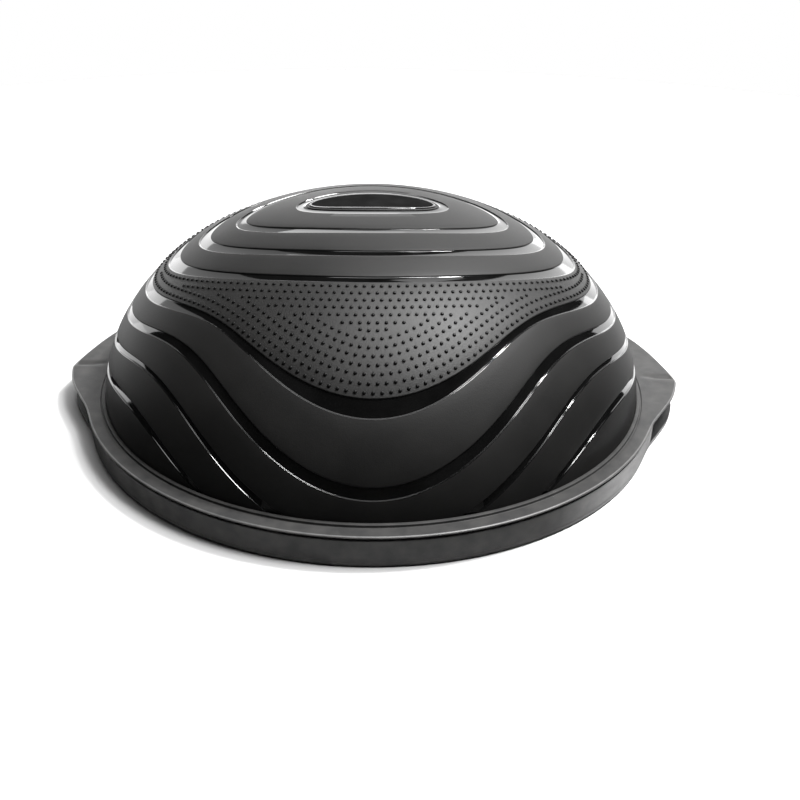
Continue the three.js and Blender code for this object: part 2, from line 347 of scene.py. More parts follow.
MATTE_PVC = matte_pvc("dome_matte_pvc", level=0.006, rough=0.52, shine=0.23, texture=0.1)
GRIP_PVC = matte_pvc("dome_grip_pvc", level=0.009, rough=0.48, shine=0.28, texture=0.22)
GLOSS_PVC = gloss_pvc()
STUD_PVC = stud_pvc()
BADGE_SATIN = badge_satin()
RING_MOULDING = moulding("ring_moulding", level=0.033, shine=0.1)
# The ring's rounded outer edge: lighter grey than the ring, a painted highlight, and shinier.
RING_EDGE = moulding("ring_edge_painted_highlight", level=0.062, shine=0.45)
PLATFORM_MOULDING = moulding("platform_moulding", level=0.058, shine=0.6)
# The pockets' lining: the platform's plastic painted far darker, painted shade inside the finger
# pockets.
POCKET_PAINTED_SHADE = moulding("pocket_painted_shade", level=0.008, shine=0.1)
RUBBER = soft_rubber()
ZINC = zinc_steel()

# ---- The dome's surface ----
# A point on the dome is an azimuth in the pattern's own frame and an arc length down its
# meridian from the crown. Its lift is the ellipsoid's angle up from the equator.
COLUMNS = 600
TURN = full_turn(COLUMNS)
LIFTS = np.radians(np.linspace(90, -70, 6000))  # samples from the crown to well under the foot


def dome_radius(lift):
    flare = FOOT_FLARE * np.maximum(0, 1 - lift / FLARE_START) ** 1.5
    return DOME_RADIUS * np.cos(lift) + flare


def narrowing(lift):
    """How fast the dome's radius shrinks as the lift grows."""
    flare = 1.5 * FOOT_FLARE / FLARE_START * np.sqrt(np.maximum(0, 1 - lift / FLARE_START))
    return DOME_RADIUS * np.sin(lift) + flare


def arc_table():
    """The arc length from the crown to each sampled lift."""
    pace = np.hypot(narrowing(LIFTS), DOME_RISE * np.cos(LIFTS))
    steps = 0.5 * (pace[1:] + pace[:-1]) * -np.diff(LIFTS)
    return np.concatenate([[0], np.cumsum(steps)])


ARCS = arc_table()


def arc_of(lift):
    return np.interp(-lift, -LIFTS, ARCS)


def lift_of(arc):
    return np.interp(arc, ARCS, LIFTS)


FOOT_ARC = float(arc_of(math.asin((DOME_FOOT - DOME_EQUATOR) / DOME_RISE)))


def dome_points(azimuth, arc, depth=0.0):
    """Points a depth under the dome's face, or above it where the depth is negative."""
    lift = lift_of(arc)
    across, up = DOME_RISE * np.cos(lift), narrowing(lift)
    steep = np.hypot(across, up)
    radius = dome_radius(lift) - depth * across / steep
    height = DOME_EQUATOR + DOME_RISE * np.sin(lift) - depth * up / steep
    radius = np.where(arc <= 1e-6, 0.0, radius)  # so that the crown is one point
    return around(azimuth + DOME_CLOCKING, radius, height)


def oval(half_length, half_width, power=2.0):
    """The arc lengths of an oval about the crown, a little pointed where the power is below 2."""
    spread = np.abs(np.sin(TURN) / half_length) ** power + np.abs(np.cos(TURN) / half_width) ** power
    return arc_of(np.arccos(spread ** (-1 / power) / DOME_RADIUS))


def wave(middle, *swings):
    """The arc lengths of a line that dips at the front and back and climbs over the sides.

    The middle is a lift in degrees, and each swing is an even harmonic of the azimuth.
    """
    lift = middle + sum(swing * np.cos(2 * (k + 1) * TURN) for k, swing in enumerate(swings))
    return arc_of(np.radians(lift))


GROOVES = [  # upper edge, lower edge
    (oval(123.4, 66.1, 1.81), oval(133.1, 73.7, 1.91)),
    (oval(158.7, 101.9, 1.89), oval(170, 109.3, 1.9)),
    (oval(189.2, 135.5, 1.92), oval(201, 142.1, 1.88)),
    (wave(35.83, -2.6, -4.88, -0.45), wave(33.08, -3.2, -5.93, -0.85)),
    (wave(23.4, -8.1, -8.0, -0.97), wave(20.6, -9.05, -8.2, -0.82)),
    (wave(10.9, -12.6, -8.75, -0.5), wave(8.9, -13.4, -9.5, -0.5)),
    (wave(-2.2, -17.3, -9.1, -0.35), wave(-4.2, -17.3, -9.1, -0.35)),
]
STUD_BAND = 3  # the studs fill the panel just above this groove

MATTE, GLOSS, GRIP = range(3)  # the skin's material slots

# A groove's section: which edge a row is measured from, how far down the dome from that edge,
# how deep, and the material of the band below the row.
GROOVE_SECTION = [
    ("upper", -0.9, 0.0, MATTE),
    ("upper", -0.5, 0.06, MATTE),
    ("upper", -0.2, 0.25, MATTE),
    ("upper", 0.0, 0.6, MATTE),
    ("upper", 0.1, 1.0, GLOSS),
    ("upper", 0.35, 1.17, GLOSS),
    ("upper", 0.9, 1.2, GLOSS),
    ("lower", -0.9, 1.2, GLOSS),
    ("lower", -0.5, 1.1, GLOSS),
    ("lower", -0.28, 0.75, GLOSS),
    ("lower", -0.1, 0.28, GLOSS),
    ("lower", 0.1, 0.06, GLOSS),
    ("lower", 0.6, 0.0, MATTE),
]
BADGE_HALF_LENGTH = 61.5
BADGE_HALF_WIDTH = 22.5
SURROUND_LENGTH = 74.5
SURROUND_WIDTH = 36
# The badge's surround: share of the way out from the badge's seat, depth, and again the material.
SURROUND_SECTION = [
    (0.0, 0.95, MATTE),
    (0.03, 0.2, MATTE),
    (0.08, 0.0, MATTE),
    (0.22, 0.0, MATTE),
    (0.26, 0.35, GLOSS),
    (0.28, 1.0, GLOSS),
    (0.33, 1.2, GLOSS),
    (0.90, 1.2, GLOSS),
    (0.94, 1.0, GLOSS),
    (0.98, 0.3, GLOSS),
    (1.0, 0.0, MATTE),
]
SEAT_CLEARANCE = 0.3  # round the badge
SEAT_GAP = 0.35  # under it
SEAT_DEPTH = BADGE_THICKNESS - BADGE_PROUD + SEAT_GAP


def slant(edge):
    """How much longer a step across an edge is when it is measured down the meridian."""
    radius = dome_radius(lift_of(edge))
    rate = np.gradient(np.concatenate([edge[-1:], edge, edge[:1]]))[1:-1] * COLUMNS / (2 * np.pi)
    return np.sqrt(1 + (rate / radius) ** 2)


def dome_rows():
    """The rows of the dome's face from the crown down: arc lengths, depths, material slot."""
    level = np.zeros(COLUMNS)
    seat_length = BADGE_HALF_LENGTH + SEAT_CLEARANCE
    seat_width = BADGE_HALF_WIDTH + SEAT_CLEARANCE
    seat = oval(seat_length, seat_width)
    rows = []
    for share in (0, 0.3, 0.6, 0.85, 0.97):
        rows.append((share * seat, level + SEAT_DEPTH, MATTE))
    for share, depth, slot in SURROUND_SECTION:
        length = seat_length + share * (SURROUND_LENGTH - seat_length)
        width = seat_width + share * (SURROUND_WIDTH - seat_width)
        rows.append((oval(length, width), level + depth, slot))
    for number, (upper, lower) in enumerate(GROOVES):
        panel = GRIP if number == STUD_BAND else MATTE
        bands = 6 if number == STUD_BAND else 4
        above = rows[-1][0]
        first = upper + GROOVE_SECTION[0][1] * slant(upper)
        rows[-1] = (*rows[-1][:2], panel)
        for step in range(1, bands):
            rows.append((above + step / bands * (first - above), level, panel))
        for side, offset, depth, slot in GROOVE_SECTION:
            edge = upper if side == "upper" else lower
            rows.append((edge + offset * slant(edge), level + depth, slot))
    above = rows[-1][0]
    foot = np.maximum(above, FOOT_ARC)
    for share in (0.35, 0.7, 1.0):
        rows.append((above + share * (foot - above), level, MATTE))
    return rows


LINING_DEPTH = 7.0
ROUNDED_SHARP_ANGLE = 50  # for pieces whose edges are rounded in the mesh


def dome_skin():
    """The moulded skin, closed by a plain lining. Grooves that dip under the foot end there."""
    points, slots = [], []
    for arc, depth, slot in dome_rows():
        shown = np.where(arc < FOOT_ARC - 0.01, depth, 0)
        points.append(dome_points(TURN, np.minimum(arc, FOOT_ARC), shown))
        slots.append(slot)
    for share in (1.0, 0.8, 0.6, 0.4, 0.2, 0.0):
        points.append(dome_points(TURN, np.full(COLUMNS, share * FOOT_ARC), LINING_DEPTH))
        slots.append(MATTE)
    materials = [MATTE_PVC, GLOSS_PVC, GRIP_PVC]
    return swept("dome_skin", points, materials, slots[:-1], sharp_angle=ROUNDED_SHARP_ANGLE)


# ---- Studs ----
STUD_PITCH = 7.35
STUD_ROW_PITCH = 7.87
STUD_ROWS = 16  # tried from each edge, more than fit
STUD_MARGIN = 4.8  # from a groove's edge to the first row
MARGIN_TOLERANCE = 0.8
ROW_TOLERANCE = 1.5  # beyond this a row is off its line, where the edge bends back on itself
STUD_SPACING = 0.72 * STUD_PITCH  # the least room between a stud and those placed before it
STUD_RADIUS = 1.55
STUD_HEIGHT = 1.3
STUD_SIDES = 10
UPPER_SHARE = 0.43  # how much of the band the straighter upper rows fill
# Share of the radius and share of the height, from the sunk foot to the top.
STUD_SECTION = [(1.0, -0.5), (1.0, 0.35), (0.88, 0.72), (0.62, 0.93), (0.3, 1.0)]


def lift_at(points):
    """The lift of points near the dome, seen from the middle of its equator."""
    radius = np.hypot(points[..., 0], points[..., 1])
    return np.arctan2((points[..., 2] - DOME_EQUATOR) / DOME_RISE, radius / DOME_RADIUS)


def unit(vectors):
    return vectors / np.linalg.norm(vectors, axis=-1, keepdims=True)


def dome_normals(points):
    """Outward normals of the smooth dome at points on it."""
    x, y = points[..., 0], points[..., 1]
    lift = lift_at(points)
    across = DOME_RISE * np.cos(lift) / np.hypot(x, y)
    return unit(np.stack([x * across, y * across, narrowing(lift)], axis=-1))


def drop_to_dome(points):
    """The points of the smooth dome at the same azimuth and lift."""
    x, y = points[..., 0], points[..., 1]
    lift = lift_at(points)
    share = dome_radius(lift) / np.hypot(x, y)
    height = DOME_EQUATOR + DOME_RISE * np.sin(lift)
    return np.stack([x * share, y * share, height], axis=-1)


def offset_line(edge, distance, downwards):
    """A closed line on the dome at a distance from an edge, walked out in short steps."""
    longest_step = 4
    line = dome_points(TURN, edge)
    along = np.roll(line, -1, axis=0) - np.roll(line, 1, axis=0)
    across = unit(np.cross(dome_normals(line), along))
    if downwards:
        across = -across
    steps = max(1, round(distance / longest_step))
    for _ in range(steps):
        line = drop_to_dome(line + across * distance / steps)
        normal = dome_normals(line)
        across = unit(across - normal * np.sum(across * normal, axis=-1, keepdims=True))
    return line


def spaced(line, shifted):
    """Points a stud's pitch apart along a closed line, starting from the front."""
    closed = np.concatenate([line, line[:1]])
    length = np.concatenate([[0], np.cumsum(np.linalg.norm(np.diff(closed, axis=0), axis=1))])
    count = round(length[-1] / STUD_PITCH)
    places = (np.arange(count) + 0.5 * shifted) * length[-1] / count
    points = np.stack([np.interp(places, length, closed[:, i]) for i in range(3)], axis=-1)
    return drop_to_dome(points)


def nearest(points, others):
    """The distance from each point to the nearest of the others."""
    gaps = [np.min(np.linalg.norm(others - point, axis=1)) for point in points]
    return np.array(gaps)


def between_edges(points, upper_edge, lower_edge):
    """Which points lie on the panel between two edges."""
    turn = np.arctan2(points[:, 0], -points[:, 1]) - DOME_CLOCKING
    arc = arc_of(lift_at(points))
    limits = [np.interp(turn, TURN, edge, period=2 * np.pi) for edge in (upper_edge, lower_edge)]
    return (arc > limits[0]) & (arc < limits[1])


def stud_places():
    """Where the studs stand: rows that follow the panel's upper edge, then rows for its lower one."""
    upper_edge, lower_edge = GROOVES[STUD_BAND - 1][1], GROOVES[STUD_BAND][0]
    above, below = dome_points(TURN, upper_edge), dome_points(TURN, lower_edge)
    kept = np.empty((0, 3))
    for edge, downwards in ((upper_edge, True), (lower_edge, False)):
        for row in range(STUD_ROWS):
            distance = STUD_MARGIN + row * STUD_ROW_PITCH
            points = spaced(offset_line(edge, distance, downwards), row % 2)
            from_above, from_below = nearest(points, above), nearest(points, below)
            share = from_above / (from_above + from_below)
            mine = share <= UPPER_SHARE if downwards else share > UPPER_SHARE
            mine &= np.minimum(from_above, from_below) > STUD_MARGIN - MARGIN_TOLERANCE
            mine &= between_edges(points, upper_edge, lower_edge)
            mine &= np.abs((from_above if downwards else from_below) - distance) < ROW_TOLERANCE
            points = points[mine]
            if len(kept) and len(points):
                points = points[nearest(points, kept) > STUD_SPACING]
            kept = np.concatenate([kept, points])
    return kept


def dome_studs():
    """The raised anti-slip studs, each a small rounded button sunk a little into the skin."""
    centres = stud_places()
    normals = dome_normals(centres)
    sideways = unit(np.cross([0, 0, 1.0], normals))
    upwards = np.cross(normals, sideways)
    turn = full_turn(STUD_SIDES)[:, None]
    spokes = sideways[:, None] * np.cos(turn) + upwards[:, None] * np.sin(turn)
    rings = [
        centres[:, None] + STUD_RADIUS * share * spokes + STUD_HEIGHT * lift * normals[:, None]
        for share, lift in reversed(STUD_SECTION)
    ]
    points = np.concatenate(rings, axis=1).reshape(-1, 3)
    levels = len(STUD_SECTION)
    size = levels * STUD_SIDES
    top = list(range(STUD_SIDES))
    foot = list(range(size - 1, size - STUD_SIDES - 1, -1))
    one = grid_faces(levels, STUD_SIDES).tolist() + [top, foot]
    faces = []
    for first in range(0, len(centres) * size, size):
        faces += [[first + corner for corner in face] for face in one]
    mesh = bpy.data.meshes.new("dome_studs")
    mesh.from_pydata((points * MM).tolist(), [], faces)
    mesh.materials.append(STUD_PVC)
    shade(mesh, 60)
    return add_object("dome_studs", mesh)


# ---- Badge ----
BADGE_FIELD = 0.18  # how far the plate's middle is sunk below its border
# Inset from the badge's edge, depth under its face.
BADGE_BORDER = [(2.2, BADGE_FIELD), (1.9, 0.0), (1.0, 0.0), (0.35, 0.1), (0.0, 0.45)]


def crown_badge():
    """A blank satin plate bowed to the crown, with a thin raised glossy border."""
    edge = oval(BADGE_HALF_LENGTH, BADGE_HALF_WIDTH)
    rows = []
    for share in (0, 0.25, 0.5, 0.7, 0.85):
        rows.append(dome_points(TURN, share * edge, BADGE_FIELD - BADGE_PROUD))
    inner = len(rows)
    for inset, depth in BADGE_BORDER:
        ring = oval(BADGE_HALF_LENGTH - inset, BADGE_HALF_WIDTH - inset)
        rows.append(dome_points(TURN, ring, depth - BADGE_PROUD))
    outer = len(rows)
    for share in (1, 0):
        rows.append(dome_points(TURN, share * edge, BADGE_THICKNESS - BADGE_PROUD))
    slots = [int(inner <= band < outer) for band in range(len(rows) - 1)]
    return swept("badge_plate", rows, [BADGE_SATIN, GLOSS_PVC], slots)


# ---- Outline of the base ----
# Degrees from a grip's tip towards the back, and the radius there.
GRIP_FLANK = np.array([
    (-26, 288), (-18, 289.3), (-12.4, 296.6), (-6.6, 306.8), (-1.8, 313.4), (0, 315), (2.5, 313.2),
    (7.7, 309.6), (13.2, 306.8), (19, 303.9), (25, 299), (31, 293), (38, 288.8), (45, 288),
])


def outline_radius(azimuth):
    """The base's outer radius at azimuths from the front."""
    x, y = np.abs(np.sin(azimuth)), -np.cos(azimuth)
    behind = np.degrees(np.arctan2(y, x))
    knots, radii = GRIP_FLANK.T
    slopes = np.zeros(len(knots))
    slopes[1:-1] = (radii[2:] - radii[:-2]) / (knots[2:] - knots[:-2])
    inside = np.clip(behind, knots[0], knots[-1])
    left = np.clip(np.searchsorted(knots, inside, side="right") - 1, 0, len(knots) - 2)
    span = knots[left + 1] - knots[left]
    t = (inside - knots[left]) / span
    rise = (2 * t ** 3 - 3 * t ** 2 + 1) * radii[left] + (3 * t ** 2 - 2 * t ** 3) * radii[left + 1]
    bend = (t ** 3 - 2 * t ** 2 + t) * slopes[left] + (t ** 3 - t ** 2) * slopes[left + 1]
    return rise + bend * span


def pocket_end_turn():
    """How far from a grip's tip, in radians, its finger pocket ends at the back and at the front."""
    fan = np.radians(np.linspace(0, 40, 4001))
    ends = []
    for sign in (1, -1):
        radius = outline_radius(np.pi / 2 + sign * fan)
        ends.append(float(np.interp(POCKET_HALF_LENGTH, radius * np.sin(fan), fan)))
    return ends


RIM_STEP = 0.75  # degrees between columns round the base
TIP_STEP = 0.25  # and round the tip of a grip
TIP_SPREAD = 6  # degrees either side of the tip
POCKET_END_STEPS = np.radians([-0.16, -0.05, 0.05, 0.16])


def rim_turns():
    """Azimuths round the base, with more of them at the grips' tips and the pockets' ends."""
    back, front = pocket_end_turn()
    turns = list(np.radians(np.arange(0, 360, RIM_STEP)))
    for tip, backwards in ((np.pi / 2, 1), (3 * np.pi / 2, -1)):
        turns += list(tip + np.radians(np.arange(-TIP_SPREAD, TIP_SPREAD, TIP_STEP)))
        for end in (tip + backwards * back, tip - backwards * front):
            turns += list(end + POCKET_END_STEPS)
    return np.unique(np.round(turns, 6))


RIM_TURNS = rim_turns()
OUTLINE = outline_radius(RIM_TURNS)


def rim_row(radius, z):
    return around(RIM_TURNS, radius, z)


def inset_outline(inset):
    return OUTLINE * (1 - inset / RIM_RADIUS)


def outline_row(inset, z):
    return rim_row(inset_outline(inset), z)


# ---- Clamp ring ----
CREASE_Y = 8
CREASE_SLOPE = 0.05
CREASE_WIDTH = 4
CREASE_DEPTH = 1.9


def grip_crease(row, share):
    """Sinks a row's points along the faint crease that crosses the top of each grip."""
    x, y = row[:, 0], row[:, 1]
    across = (y - CREASE_Y + CREASE_SLOPE * (np.abs(x) - RIM_RADIUS)) / CREASE_WIDTH
    row[:, 2] -= share * CREASE_DEPTH * np.exp(-across ** 2)
    return row


LIP_GROOVE = 1.6  # width of the shadow groove round the lip
LIP_GROOVE_FLOOR = RING_TOP - 1.1
RING_FLAT_INNER = LIP_OUTER + 6
RING_FLAT_INSET = 1.6
# The ring's outer edge from the flat down: inset from the outline, height.
RING_EDGE_SECTION = [(1.0, 31.4), (0.45, 31.15), (0.1, 30.8), (0.0, 30.4), (0.0, 29.95), (0.3, 29.6)]
EDGE_HIGHLIGHT_BANDS = 5  # how many bands from the flat's edge down are painted lighter, a painted highlight along the ring's edge


def clamp_ring():
    """The trim ring: a raised lip round the dome, a shadow groove, and a flat rim with soft edges."""
    groove_outer = LIP_OUTER + LIP_GROOVE
    corners = [
        (LIP_INNER, RING_BOTTOM + 1), (LIP_INNER, LIP_TOP), (LIP_OUTER, LIP_TOP),
        (LIP_OUTER, LIP_GROOVE_FLOOR), (groove_outer, LIP_GROOVE_FLOOR),
        (groove_outer, RING_TOP), (RING_FLAT_INNER, RING_TOP),
    ]
    rows = [rim_row(radius, z) for radius, z in rounded(corners, 0.7)]
    reach = inset_outline(RING_FLAT_INSET) - RING_FLAT_INNER
    for share, strength in ((0.25, 0.4), (0.5, 1), (0.75, 1), (0.9, 1), (1.0, 0.6)):
        rows.append(grip_crease(rim_row(RING_FLAT_INNER + share * reach, RING_TOP), strength))
    flat_edge = len(rows) - 1
    rows += [outline_row(inset, z) for inset, z in RING_EDGE_SECTION]
    rows += [outline_row(2.0, 29.3), outline_row(3.5, RING_BOTTOM), outline_row(8, RING_BOTTOM)]
    rows.append(rim_row(LIP_INNER, RING_BOTTOM))
    # The bands at the outer edge take the lighter material, a painted highlight.
    slots = [int(flat_edge <= band < flat_edge + EDGE_HIGHLIGHT_BANDS) for band in range(len(rows))]
    materials = [RING_MOULDING, RING_EDGE]
    return swept("trim_ring", rows, materials, slots, loop=True, sharp_angle=ROUNDED_SHARP_ANGLE)


# ---- Base platform ----
RIM_INNER = 275
WALL_TOP = 26.9  # a shadow gap is left between this and the clamp ring
WALL_TOP_INSET = 1.3
GAP_INSET = WALL_TOP_INSET + 3
WALL_FOOT_INSET = 2.3
WALL_FOOT = PLATFORM_BOTTOM + 1
FLOOR_INSET = 3.3
POCKET_EDGE = 0.5
PLATFORM_SHARP_ANGLE = 32


def wall_inset(z):
    """How far the tapered side wall is set in from the outline at a height."""
    taper = WALL_TOP_INSET - WALL_FOOT_INSET
    return WALL_FOOT_INSET + taper * (z - WALL_FOOT) / (PLATFORM_TOP - WALL_FOOT)


def in_pocket():
    """Which azimuths lie in a finger pocket."""
    middle = (POCKET_FLOOR + POCKET_ROOF) / 2
    reach = inset_outline(wall_inset(middle))
    return np.abs(reach * np.cos(RIM_TURNS)) < POCKET_HALF_LENGTH


def pocket_row(z):
    """A row along the wall that turns in to the pockets' back walls."""
    row = outline_row(wall_inset(z), z)
    inside = in_pocket()
    side = np.sign(row[:, 0])
    depth = np.sqrt(np.maximum(POCKET_BACK ** 2 - row[:, 1] ** 2, 1))
    row[:, 0] = np.where(inside, side * depth, row[:, 0])
    return row


def faces_pocket(place):
    """Whether a face whose middle is here lines a finger pocket."""
    x, y, z = place / MM
    level = POCKET_FLOOR - 0.15 < z < POCKET_ROOF + 0.15
    return level and abs(y) < POCKET_HALF_LENGTH and math.hypot(x, y) > RIM_INNER + 1


def platform_body():
    """The platform: a tapered wall with a finger pocket each side, a bottom plate and a well."""
    rows = [outline_row(GAP_INSET, PLATFORM_TOP), outline_row(GAP_INSET, WALL_TOP + 0.2)]
    rows.append(outline_row(WALL_TOP_INSET + 0.6, WALL_TOP))
    rows.append(outline_row(WALL_TOP_INSET, WALL_TOP - 0.4))
    rows.append(outline_row(wall_inset(POCKET_ROOF) + 0.15, POCKET_ROOF + 0.1))
    rows.append(pocket_row(POCKET_ROOF - 0.1))
    for share in (0.25, 0.5, 0.75):
        rows.append(pocket_row(POCKET_ROOF + share * (POCKET_FLOOR - POCKET_ROOF)))
    rows.append(pocket_row(POCKET_FLOOR + 0.1))
    rows.append(outline_row(wall_inset(POCKET_FLOOR) + 0.15, POCKET_FLOOR - 0.1))
    rows.append(outline_row(wall_inset(POCKET_FLOOR - POCKET_EDGE), POCKET_FLOOR - POCKET_EDGE))
    rows.append(outline_row(WALL_FOOT_INSET, WALL_FOOT))
    rows.append(outline_row(WALL_FOOT_INSET + 0.25, PLATFORM_BOTTOM + 0.35))
    rows.append(outline_row(FLOOR_INSET, PLATFORM_BOTTOM))
    for radius in (RIM_INNER, 200, 120, 40, WELL_RADIUS + 0.8):
        rows.append(rim_row(radius, PLATFORM_BOTTOM))
    rows.append(rim_row(WELL_RADIUS, PLATFORM_BOTTOM + 0.8))
    rows.append(rim_row(WELL_RADIUS, PLATE_TOP))
    rows.append(rim_row(RIM_INNER, PLATE_TOP))
    rows.append(rim_row(RIM_INNER, PLATFORM_TOP))
    materials = [PLATFORM_MOULDING, POCKET_PAINTED_SHADE]
    piece = swept("platform_body", rows, materials, loop=True, sharp_angle=PLATFORM_SHARP_ANGLE)
    # Faces inside the finger pockets take the dark material, painted shade.
    for face in piece.data.polygons:
        face.material_index = int(faces_pocket(face.center))
    cut(piece, underside_cutter())
    shade(piece.data, PLATFORM_SHARP_ANGLE)
    return piece


def on_circle(radius, azimuth):
    """The place of a point given by its CAD azimuth, which runs from +X towards +Y."""
    return radius * math.cos(azimuth), radius * math.sin(azimuth)


def screw_places():
    """The screws' places in the CAD's order: along the back, then along the front."""
    half = SCREWS // 2
    first = math.radians(SCREW_FIRST_AZIMUTH)
    step = (math.pi - 2 * first) / (half - 1)
    azimuths = [side * (first + i * step) for side in (1, -1) for i in range(half)]
    return [on_circle(SCREW_CIRCLE, azimuth) for azimuth in azimuths]


def pad_places():
    return [on_circle(PAD_CIRCLE, (i + 0.5) * 2 * math.pi / PADS) for i in range(PADS)]


# (radius, z) of a screw's counterbore and a pad's recess, each with a chamfered mouth.
COUNTERBORE = [(0, 5.4), (4.1, 5.4), (4.1, 2.1), (4.9, 1.3), (4.9, -1), (0, -1)]
PAD_RECESS = [(0, 3), (14.3, 3), (14.3, 2), (14.9, 1.4), (14.9, -1), (0, -1)]


def underside_cutter():
    """Everything that is cut from the platform's underside: screw counterbores and pad recesses."""
    pieces = [turned("cutter", COUNTERBORE, PLATFORM_MOULDING, 32, at) for at in screw_places()]
    pieces += [turned("cutter", PAD_RECESS, PLATFORM_MOULDING, 64, at) for at in pad_places()]
    work = bmesh.new()
    for piece in pieces:
        work.from_mesh(piece.data)
        bpy.data.objects.remove(piece)
    mesh = bpy.data.meshes.new("cutter")
    work.to_mesh(mesh)
    work.free()
    return add_object("cutter", mesh)


# ---- Small parts ----
def cross_reach(turn, half_length, half_width):
    """How far a cross-shaped outline is from its middle in each direction."""
    along = np.maximum(np.abs(np.cos(turn)), 1e-6)
    over = np.maximum(np.abs(np.sin(turn)), 1e-6)
    level = np.minimum(half_length / along, half_width / over)
    upright = np.minimum(half_width / along, half_length / over)
    return np.maximum(level, upright)


HEAD_BOTTOM = 2.9
HEAD_TOP = 5.2
RECESS_ROOF = 4.3
# (radius, z) from the tip down to the rim of the head's flat.
SCREW_PROFILE = [
    (0, 24.2), (0.5, 23.6), (1.75, 21.6), (1.75, HEAD_TOP), (3.6, HEAD_TOP), (3.6, HEAD_BOTTOM + 0.6),
    (2.9, HEAD_BOTTOM), (2.4, HEAD_BOTTOM),
]


def ring_screw(number, at):
    """A pan-head screw, point up, with a cross recess in its head."""
    sides = 72
    turn = full_turn(sides)
    cross = cross_reach(turn, 1.8, 0.45)
    rows = turned_rows(rounded(SCREW_PROFILE, 0.3, 3), sides)
    for share, z in ((1, HEAD_BOTTOM), (0.92, RECESS_ROOF), (0, RECESS_ROOF)):
        rows.append(around(turn, share * cross, z))
    rows = np.array(rows) + np.array([*at, 0])
    return swept(f"fine_ring_screw_{number}", rows, [ZINC], sharp_angle=35)


TREAD_RINGS = 4
TREAD_PITCH = 2.8
TREAD_OUTER = 11.6
TREAD_DEPTH = 0.45


def foot_pad(number, at):
    """A soft pad with shallow rings round its tread."""
    profile = [(0, 2.7), (14, 2.7), (14, 1.0), (13.4, 0.25), (12.8, 0.0)]
    for ring in range(TREAD_RINGS):
        outer = TREAD_OUTER - TREAD_PITCH * ring
        for inwards, height in ((0, 0.0), (0.35, TREAD_DEPTH), (0.95, TREAD_DEPTH), (1.3, 0.0)):
            profile.append((outer - inwards, height))
    profile.append((0, 0.0))
    return turned(f"fine_foot_pad_{number}", profile, RUBBER, 64, at)


VALVE_BORE = 4.2
FLANGE_TOP = 31.6
FLANGE_BOTTOM = 30.1
NECK_BOTTOM = 10


def valve():
    """The inflation neck under its flange. Its profile starts and ends half way up the bore."""
    start = (VALVE_BORE, 20)
    corners = [
        (VALVE_BORE, FLANGE_TOP), (14, FLANGE_TOP), (14, FLANGE_BOTTOM), (8, FLANGE_BOTTOM),
        (8, NECK_BOTTOM), (VALVE_BORE, NECK_BOTTOM),
    ]
    profile = rounded([start, *corners, start], 0.5)
    return turned("fine_valve", profile[:-1], RUBBER, 64, loop=True)


# (radius, z) from the stem's tip past its sealing groove to the underside of the head.
PLUG_PROFILE = [
    (0, 23.7), (2.6, 23.7), (3.9, 20.7), (3.9, 17.4), (3.5, 16.9), (3.9, 16.4), (3.9, 9.7), (9, 9.7),
    (9, 7.2), (6, 7.2), (5, 7.5), (0, 7.5),
]
PLUG_GRIP_SIZE = (10, 2.4, 4.2)
PLUG_GRIP_Z = 5.8


def plug():
    """The stopper, with a bar under its head to pull it by."""
    piece = turned("fine_plug", rounded(PLUG_PROFILE, 0.4), RUBBER, 64)
    work = bmesh.new()
    work.from_mesh(piece.data)
    size = Matrix.Diagonal((*(side * MM for side in PLUG_GRIP_SIZE), 1))
    place = Matrix.Translation((0, 0, PLUG_GRIP_Z * MM)) @ size
    stem_edges = len(work.edges)
    bmesh.ops.create_cube(work, size=1, matrix=place)
    edges = list(work.edges)[stem_edges:]
    bmesh.ops.bevel(work, geom=edges, offset=0.5 * MM, segments=3, affect="EDGES", profile=0.5)
    work.to_mesh(piece.data)
    work.free()
    shade(piece.data, 40)
    return piece


MEMBRANE_INNER = 8.3
MEMBRANE_OUTER = 257.3  # inside the skin's lining
MEMBRANE_BOTTOM = 26.8
MEMBRANE_TOP = 29.8


def membrane():
    """The floor of the air chamber, a soft disc with three raised bands."""
    low, high = MEMBRANE_BOTTOM, MEMBRANE_TOP
    sunk = high - 0.8
    profile = [
        (MEMBRANE_INNER, low), (MEMBRANE_INNER, high), (16, high), (17.5, sunk), (126, sunk),
        (128, high), (136, high), (138, sunk), (244, sunk), (246, high), (MEMBRANE_OUTER, high),
        (MEMBRANE_OUTER, low),
    ]
    return turned("chamber_floor", rounded(profile, 0.6), MATTE_PVC, 180, loop=True)


# ---- Assembly ----
def attach(piece, body, slot, *nodes):
    """Puts a piece on a body in place of its CAD nodes."""
    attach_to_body(piece, body)
    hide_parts(*nodes)
    return piece


def press(piece):
    """Gives a piece a mesh of its own."""
    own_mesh(piece)


skin = attach(dome_skin(), "base", "dome_pvc", "dome_shell")
press(skin)
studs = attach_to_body(dome_studs(), "base")
press(studs)
badge = attach(crown_badge(), "crown", "badge_gloss", "crown_badge")
press(badge)
attach(membrane(), "base", "dome_pvc", "bladder_floor")
attach(clamp_ring(), "base", "ring_moulding", "clamp_ring")
attach(platform_body(), "base", "platform_moulding", "base_platform")
attach(valve(), "base", "soft_rubber", "valve_body")
attach(plug(), "plug", "soft_rubber", "air_plug")
for number, at in enumerate(screw_places(), start=1):
    attach(ring_screw(number, at), "base", "zinc_steel", f"ring_screw_{number}")
for number, at in enumerate(pad_places(), start=1):
    attach(foot_pad(number, at), "base", "soft_rubber", f"foot_pad_{number}")


# ---- Studio ----
FLOOR_RADIUS = 1.8
FLOOR_LEVEL = 0.5  # the floor's grey, which the lights bring up to white
DIM_LEVEL = 0.02  # how brightly the white backdrop lights the object


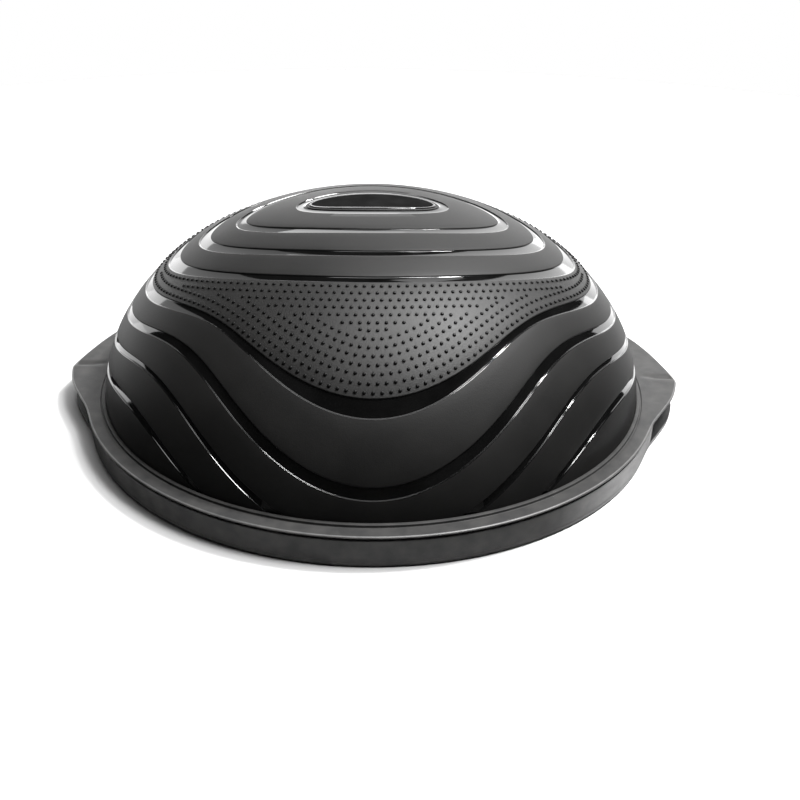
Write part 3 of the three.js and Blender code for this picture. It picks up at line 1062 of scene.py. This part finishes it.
def pale_floor():
    """A pale matte floor. It is hidden from reflections, so the low lights show in the gloss."""
    bpy.ops.mesh.primitive_circle_add(vertices=128, radius=FLOOR_RADIUS, fill_type="NGON")
    floor = bpy.context.object
    floor.name = "studio_floor"
    nodes = Nodes("pale_floor")
    nodes.shader.inputs["Base Color"].default_value = (*grey(FLOOR_LEVEL), 1)
    nodes.shader.inputs["Roughness"].default_value = 0.9
    nodes.shader.inputs["Specular IOR Level"].default_value = 0.1
    floor.data.materials.append(nodes.material)
    floor.visible_glossy = False


# Name, azimuth from the front towards +X and elevation in degrees, width, height, power in watts.
# The low ones stand in for the bright surroundings that the gloss and the side wall reflect.
SOFTBOXES = [
    ("key", 98, 63, 0.35, 0.35, 110),
    ("top", 0, 88, 1.2, 1.2, 25),
    ("sheen", 60, 67, 0.6, 0.6, 72),
    ("hair", 154, 60, 0.6, 0.6, 2.5),
    ("back_right", 166, 25, 2.7, 1.7, 37),
    ("back_left", -152, 22, 2.5, 1.9, 13),
    ("low_left", -142, 0, 3.2, 1.2, 25),
    ("low_right", 150, -4, 2.3, 1.3, 22),
    ("floor_glow", 112, -35, 1.8, 1.0, 18),
]
SOFTBOX_DISTANCE = 2.4
SOFTBOX_AIM = Vector((0, 0, 0.1))


def softbox(name, azimuth, elevation, width, height, power):
    """A rectangular area light that faces the object and isn't seen by the camera."""
    light = bpy.data.lights.new(name, "AREA")
    light.shape = "RECTANGLE"
    light.size, light.size_y = width, height
    light.energy = power
    lamp = add_object(name, light)
    lamp.visible_camera = False
    rise = math.radians(elevation)
    outwards = Vector(around(math.radians(azimuth), math.cos(rise), math.sin(rise)))
    lamp.location = SOFTBOX_AIM + SOFTBOX_DISTANCE * outwards
    lamp.rotation_euler = (-outwards).to_track_quat("-Z", "Y").to_euler()


def backdrop():
    """White to the camera, and dim to everything that it would light."""
    world = bpy.data.worlds.new("studio")
    bpy.context.scene.world = world
    world.use_nodes = True
    tree = world.node_tree
    seen = tree.nodes["Background"]
    dim = tree.nodes.new("ShaderNodeBackground")
    for node, strength in ((seen, 1.0), (dim, DIM_LEVEL)):
        node.inputs["Color"].default_value = (1, 1, 1, 1)
        node.inputs["Strength"].default_value = strength
    rays = tree.nodes.new("ShaderNodeLightPath")
    mix = tree.nodes.new("ShaderNodeMixShader")
    tree.links.new(rays.outputs["Is Camera Ray"], mix.inputs["Fac"])
    tree.links.new(dim.outputs["Background"], mix.inputs[1])
    tree.links.new(seen.outputs["Background"], mix.inputs[2])
    tree.links.new(mix.outputs["Shader"], tree.nodes["World Output"].inputs["Surface"])


CAMERA_PLACE = Vector((0.0391, -0.9815, 0.5331))
CAMERA_AIM = Vector((0, 0, 0.090))
CAMERA_ROLL = math.radians(0.37)


def camera():
    data = bpy.data.cameras.new("camera")
    view = add_object("camera", data)
    turn = (CAMERA_AIM - CAMERA_PLACE).to_track_quat("-Z", "Y").to_matrix().to_4x4()
    roll = Matrix.Rotation(CAMERA_ROLL, 4, "Z")
    view.matrix_world = Matrix.Translation(CAMERA_PLACE) @ turn @ roll
    data.sensor_width = 36
    data.lens = 47.44
    data.shift_x = 0.0355
    data.shift_y = -0.0977
    bpy.context.scene.camera = view


pale_floor()
backdrop()
for box in SOFTBOXES:
    softbox(*box)
camera()
bpy.context.scene.view_settings.view_transform = "Standard"
